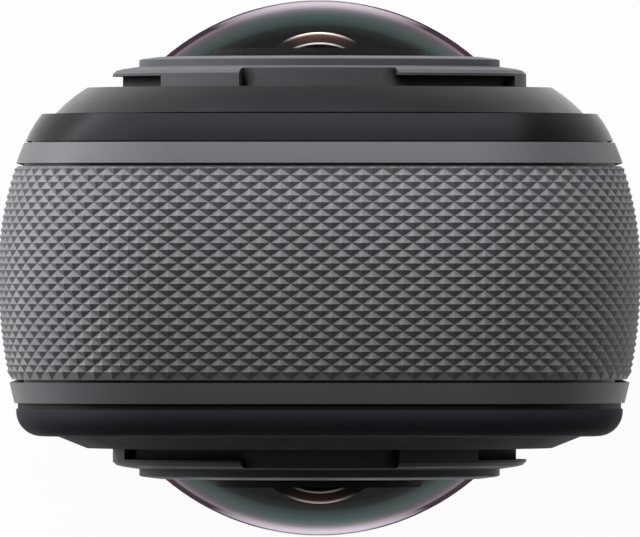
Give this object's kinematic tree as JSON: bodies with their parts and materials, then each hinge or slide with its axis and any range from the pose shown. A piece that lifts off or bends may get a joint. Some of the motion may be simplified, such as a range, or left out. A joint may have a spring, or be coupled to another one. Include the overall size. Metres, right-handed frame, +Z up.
{
  "type": "360 degree camera",
  "caption": "Tall pocket 360 degree camera with dome lenses back to back, a diamond-knurled grip band over the top, a rear screen, keys, a port door and a slide-out battery.",
  "frame": {"origin": "centre of the flat foot on the ground, below the middle of the body", "axes": "+Z up the body, -Y out of the screen, +Y out of the plain front, +X to the port side"},
  "size_m": [0.046, 0.0386, 0.1245],
  "materials": {
    "frame_satin": "satin grey, fine moulded grain",
    "grip_grey": "grey diamond knurl with crisp facets",
    "panel_grey": "satin dark grey",
    "front_black": "fine-grained black",
    "rear_black": "semi-gloss black",
    "pad_rubber": "ribbed black rubber",
    "seal_rubber": "black seal",
    "screen_glass": "black cover glass",
    "screen_panel": "dark display stack",
    "lens_glass": "coated clear glass",
    "inner_glass": "copper-coated glass",
    "lens_metal": "black anodised, fine bead blast",
    "lens_black": "flat black",
    "board_green": "solder mask",
    "sensor_dark": "sensor package",
    "sheet_steel": "stamped steel",
    "chassis_metal": "cast light metal",
    "cell_black": "wrapped cell",
    "contact_brass": "plated contacts",
    "key_black": "satin black keys",
    "light_white": "frosted light pipe",
    "mesh_black": "blackened mesh",
    "base_metal": "dark anodised plate",
    "thread_steel": "machined insert"
  },
  "bodies": {
    "camera": {"frame": "frame_satin", "grip_band": "grip_grey", "right_side_panel": "panel_grey", "left_side_panel": "panel_grey", "front_cover": "front_black", "front_grip_pad": "pad_rubber", "rear_cover": "rear_black", "rear_cover_gasket": "seal_rubber", "display_glass": "screen_glass", "display_panel": "screen_panel", "mid_plate": "sheet_steel", "front_lens_mount": "lens_metal", "rear_lens_mount": "lens_metal", "front_lens_ring": "lens_metal", "rear_lens_ring": "lens_metal", "front_dome_lens": "lens_glass", "rear_dome_lens": "lens_glass", "front_lens_baffle": "lens_black", "rear_lens_baffle": "lens_black", "front_inner_lens": "inner_glass", "rear_inner_lens": "inner_glass", "front_lens_barrel": "lens_black", "rear_lens_barrel": "lens_black", "front_image_sensor": "sensor_dark", "rear_image_sensor": "sensor_dark", "lens_seals": "seal_rubber", "lens_chassis": "chassis_metal", "chassis_screws": "sheet_steel", "main_board": "board_green", "processor_shield": "sheet_steel", "battery_tray": "lens_black", "battery_contacts": "contact_brass", "card_slot": "sheet_steel", "usb_board": "board_green", "usb_port": "sheet_steel", "speaker": "lens_black", "mic_meshes": "mesh_black", "status_light": "light_white", "rear_key_board": "board_green", "rear_key_switches": "sheet_steel", "side_key_board": "board_green", "side_key_switches": "sheet_steel", "base_plate": "base_metal", "base_screws": "sheet_steel", "tripod_insert": "thread_steel", "port_door_pin": "sheet_steel"},
    "shutter_key": {"shutter_key": "key_black"},
    "lens_key": {"lens_key": "key_black"},
    "power_key": {"power_key": "key_black"},
    "quick_key": {"quick_key": "key_black"},
    "port_door": {"port_door": "panel_grey", "port_door_seal": "seal_rubber"},
    "battery": {"battery_cell": "cell_black", "battery_lid": "panel_grey", "battery_seal": "seal_rubber"},
    "battery_latch": {"battery_latch": "key_black"}
  },
  "joints": [
    {"name": "shutter_press", "type": "slide", "parent": "camera", "child": "shutter_key", "axis": [0, 1, 0], "range_m": [0, 0.0005], "stiffness_N_per_m": 400},
    {"name": "lens_key_press", "type": "slide", "parent": "camera", "child": "lens_key", "axis": [0, 1, 0], "range_m": [0, 0.0005], "stiffness_N_per_m": 400},
    {"name": "power_press", "type": "slide", "parent": "camera", "child": "power_key", "axis": [-1, 0, 0], "range_m": [0, 0.0005], "stiffness_N_per_m": 400},
    {"name": "quick_press", "type": "slide", "parent": "camera", "child": "quick_key", "axis": [-1, 0, 0], "range_m": [0, 0.0005], "stiffness_N_per_m": 400},
    {"name": "port_door_swing", "type": "hinge", "parent": "camera", "child": "port_door", "pos_m": [0.0218, 0, 0.012], "axis": [0, 1, 0], "range_deg": [0, 95]},
    {"name": "battery_slide", "type": "slide", "parent": "camera", "child": "battery", "axis": [-1, 0, 0], "range_m": [0, 0.045]},
    {"name": "latch_slide", "type": "slide", "parent": "battery", "child": "battery_latch", "axis": [0, 0, 1], "range_m": [0, 0.003], "stiffness_N_per_m": 100}
  ]
}
